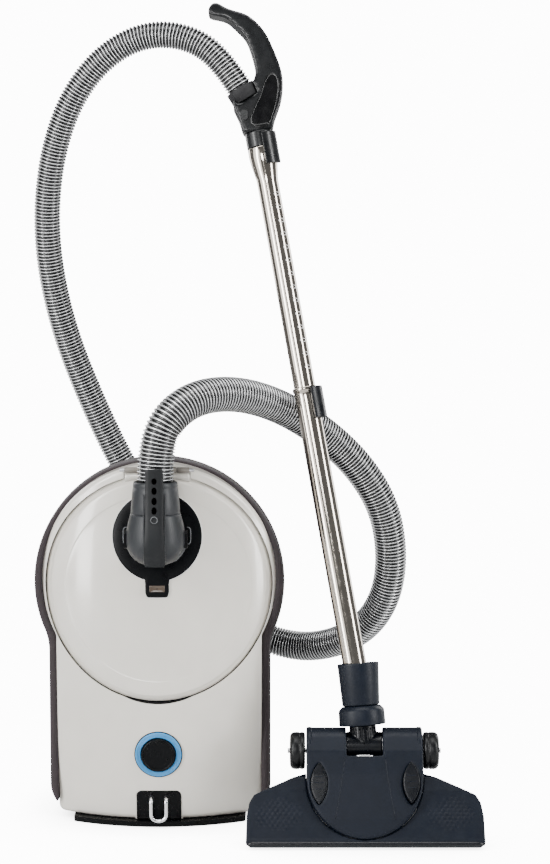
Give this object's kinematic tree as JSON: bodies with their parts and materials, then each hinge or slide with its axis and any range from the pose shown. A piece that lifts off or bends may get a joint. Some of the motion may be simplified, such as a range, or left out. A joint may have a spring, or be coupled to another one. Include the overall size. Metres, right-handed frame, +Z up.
{
  "type": "canister vacuum cleaner",
  "caption": "Canister vacuum cleaner parked on its end, with a bulged casing, round lid, dial, corrugated hose, handle, telescopic wand and a floor head.",
  "frame": {"origin": "middle of the parking foot's underside, on the floor", "axes": "+Z up, +X to the right seen from the front, -Y out of the front cover"},
  "size_m": [0.5688, 0.4041, 1.0255],
  "materials": {
    "cover_white": "glossy warm light grey shell",
    "shell_grey": "fine grained dark grey plastic",
    "bumper_cloth": "woven dark grey-brown textile belt",
    "black_plastic": "satin black plastic",
    "elbow_grey": "satin mid-grey plastic",
    "dark_rubber": "soft dark rubber",
    "strap_rubber": "dark grey rubber",
    "dial_blue": "satin sky blue plastic",
    "lens_amber": "beige see-through indicator lens",
    "chrome_wire": "polished chromed wire",
    "tube_chrome": "polished chromed steel tube",
    "steel": "plain steel",
    "copper_iron": "laminated iron",
    "alloy": "pressed aluminium",
    "bag_fleece": "non-woven fleece",
    "filter_foam": "filter fleece",
    "hose_silver": "silver grey ribbed hose",
    "handle_black": "glossy anthracite plastic",
    "handle_panel": "high gloss black plastic",
    "slider_grey": "light grey plastic",
    "head_navy": "matt navy-grey plastic",
    "head_dark": "satin navy-black plastic",
    "tyre_black": "soft black tread",
    "bristle": "dense black bristle"
  },
  "bodies": {
    "canister": {"chassis": "shell_grey", "top_cover": "cover_white", "base_foot": "black_plastic", "bumper": "bumper_cloth", "lid_hinge_pin": "steel", "hook_plate": "black_plastic", "park_hook": "chrome_wire", "cable_gland": "black_plastic", "casing_screws": "steel", "dust_bag": "bag_fleece", "bag_holder": "black_plastic", "motor_filter": "filter_foam", "exhaust_filter": "filter_foam", "motor_housing": "black_plastic", "motor_stator": "copper_iron", "hose_lower": "hose_silver", "hose_upper": "hose_silver"},
    "lid": {"lid": "cover_white", "lid_seal": "dark_rubber", "inlet_ring": "black_plastic", "indicator_window": "lens_amber", "hose_elbow": "elbow_grey", "hose_cuff": "elbow_grey", "strap": "strap_rubber"},
    "lid_latch": {"lid_latch": "black_plastic"},
    "power_ring": {"power_ring": "dial_blue"},
    "power_button": {"power_button": "black_plastic"},
    "elbow_clip_left": {"elbow_clip_left": "black_plastic"},
    "elbow_clip_right": {"elbow_clip_right": "black_plastic"},
    "motor_rotor": {"motor_rotor": "copper_iron", "fan_impeller": "alloy"},
    "handle": {"handle_body": "handle_black", "handle_panel": "handle_panel", "handle_cuff": "handle_black", "tube_collar": "handle_black", "upper_tube": "tube_chrome"},
    "suction_slider": {"suction_slider": "slider_grey"},
    "handle_release": {"handle_release": "handle_black"},
    "lower_tube": {"lower_tube": "tube_chrome", "neck_socket": "head_navy"},
    "tube_lock": {"tube_lock": "head_dark"},
    "neck": {"swivel_collar": "head_navy", "pivot_barrel": "head_dark"},
    "head": {"head_housing": "head_navy", "nozzle_body": "head_navy", "sole_plate": "alloy", "head_pins": "steel"},
    "pedal_left": {"pedal_left": "head_dark"},
    "pedal_right": {"pedal_right": "head_dark"},
    "brush_strips": {"brush_strips": "bristle"},
    "head_wheel_left": {"head_wheel_left": "tyre_black"},
    "head_wheel_right": {"head_wheel_right": "tyre_black"},
    "castor_fork_a": {"castor_fork_a": "black_plastic"},
    "castor_wheel_a": {"castor_wheel_a": "tyre_black"},
    "castor_fork_b": {"castor_fork_b": "black_plastic"},
    "castor_wheel_b": {"castor_wheel_b": "tyre_black"},
    "castor_fork_c": {"castor_fork_c": "black_plastic"},
    "castor_wheel_c": {"castor_wheel_c": "tyre_black"},
    "castor_fork_d": {"castor_fork_d": "black_plastic"},
    "castor_wheel_d": {"castor_wheel_d": "tyre_black"}
  },
  "joints": [
    {"name": "lid_hinge", "type": "hinge", "parent": "canister", "child": "lid", "pos_m": [0, -0.113, 0.4495], "axis": [-1, 0, 0], "range_deg": [0, 50], "deforming": ["hose_lower"]},
    {"name": "lid_latch_press", "type": "slide", "parent": "canister", "child": "lid_latch", "axis": [0, 1, 0], "range_m": [0, 0.0025], "stiffness_N_per_m": 600},
    {"name": "power_ring_turn", "type": "hinge", "parent": "canister", "child": "power_ring", "pos_m": [0, -0.11736, 0.0936], "axis": [0, -0.9953, -0.0973], "range_deg": [-135, 135]},
    {"name": "power_button_press", "type": "slide", "parent": "canister", "child": "power_button", "axis": [0, 0.9953, 0.0973], "range_m": [0, 0.003], "stiffness_N_per_m": 800},
    {"name": "elbow_clip_left_press", "type": "slide", "parent": "lid", "child": "elbow_clip_left", "axis": [1, 0, 0], "range_m": [0, 0.0025], "stiffness_N_per_m": 500},
    {"name": "elbow_clip_right_press", "type": "slide", "parent": "lid", "child": "elbow_clip_right", "axis": [-1, 0, 0], "range_m": [0, 0.0025], "stiffness_N_per_m": 500},
    {"name": "motor_spin", "type": "hinge", "parent": "canister", "child": "motor_rotor", "pos_m": [0, 0.015, 0.092], "axis": [1, 0, 0], "continuous": true},
    {"name": "handle_swivel", "type": "hinge", "parent": "canister", "child": "handle", "pos_m": [0.1046, 0.0121, 0.9113], "axis": [0.5297, -0.0537, -0.8465], "range_deg": [-60, 0]},
    {"name": "suction_slide", "type": "slide", "parent": "handle", "child": "suction_slider", "axis": [-0.1756, 0.1909, 0.9658], "range_m": [-0.004, 0.004]},
    {"name": "handle_release_press", "type": "slide", "parent": "handle", "child": "handle_release", "axis": [0.1756, -0.1909, -0.9658], "range_m": [0, 0.004], "stiffness_N_per_m": 500},
    {"name": "tube_telescope", "type": "slide", "parent": "handle", "child": "lower_tube", "axis": [-0.1756, 0.1909, 0.9658], "range_m": [0, 0.17]},
    {"name": "tube_lock_press", "type": "slide", "parent": "lower_tube", "child": "tube_lock", "axis": [0.1756, -0.1909, -0.9658], "range_m": [0, 0.005], "stiffness_N_per_m": 500},
    {"name": "neck_twist", "type": "hinge", "parent": "lower_tube", "child": "neck", "pos_m": [0.2545, -0.14582, 0.1116], "axis": [-0.072, 0.1931, 0.9785], "range_deg": [-80, 80]},
    {"name": "head_tilt", "type": "hinge", "parent": "neck", "child": "head", "pos_m": [0.2545, -0.14582, 0.1116], "axis": [-1, 0, 0], "range_deg": [0, 55]},
    {"name": "pedal_right_press", "type": "slide", "parent": "head", "child": "pedal_right", "axis": [0, 0.7771, -0.6293], "range_m": [0, 0.005]},
    {"name": "pedal_left_press", "type": "slide", "parent": "head", "child": "pedal_left", "axis": [0, 0.7771, -0.6293], "range_m": [-0.005, 0]},
    {"name": "brush_drop", "type": "slide", "parent": "head", "child": "brush_strips", "axis": [0, 0.7771, -0.6293], "range_m": [0, 0.006]},
    {"name": "head_wheel_left_roll", "type": "hinge", "parent": "head", "child": "head_wheel_left", "pos_m": [0.2545, -0.1496, 0.10694], "axis": [1, 0, 0], "continuous": true},
    {"name": "head_wheel_right_roll", "type": "hinge", "parent": "head", "child": "head_wheel_right", "pos_m": [0.2545, -0.1496, 0.10694], "axis": [1, 0, 0], "continuous": true},
    {"name": "castor_swivel_a", "type": "hinge", "parent": "canister", "child": "castor_fork_a", "pos_m": [-0.084, 0.09, 0.062], "axis": [0, 1, 0], "continuous": true},
    {"name": "castor_roll_a", "type": "hinge", "parent": "castor_fork_a", "child": "castor_wheel_a", "pos_m": [-0.084, 0.107, 0.052], "axis": [1, 0, 0], "continuous": true},
    {"name": "castor_swivel_b", "type": "hinge", "parent": "canister", "child": "castor_fork_b", "pos_m": [0.084, 0.09, 0.062], "axis": [0, 1, 0], "continuous": true},
    {"name": "castor_roll_b", "type": "hinge", "parent": "castor_fork_b", "child": "castor_wheel_b", "pos_m": [0.084, 0.107, 0.052], "axis": [1, 0, 0], "continuous": true},
    {"name": "castor_swivel_c", "type": "hinge", "parent": "canister", "child": "castor_fork_c", "pos_m": [-0.08, 0.09, 0.372], "axis": [0, 1, 0], "continuous": true},
    {"name": "castor_roll_c", "type": "hinge", "parent": "castor_fork_c", "child": "castor_wheel_c", "pos_m": [-0.08, 0.107, 0.362], "axis": [1, 0, 0], "continuous": true},
    {"name": "castor_swivel_d", "type": "hinge", "parent": "canister", "child": "castor_fork_d", "pos_m": [0.08, 0.09, 0.372], "axis": [0, 1, 0], "continuous": true},
    {"name": "castor_roll_d", "type": "hinge", "parent": "castor_fork_d", "child": "castor_wheel_d", "pos_m": [0.08, 0.107, 0.362], "axis": [1, 0, 0], "continuous": true}
  ],
  "couplings": [
    {"joint": "pedal_left_press", "follows": "pedal_right_press", "ratio": -1},
    {"joint": "brush_drop", "follows": "pedal_right_press", "ratio": 1.2}
  ]
}
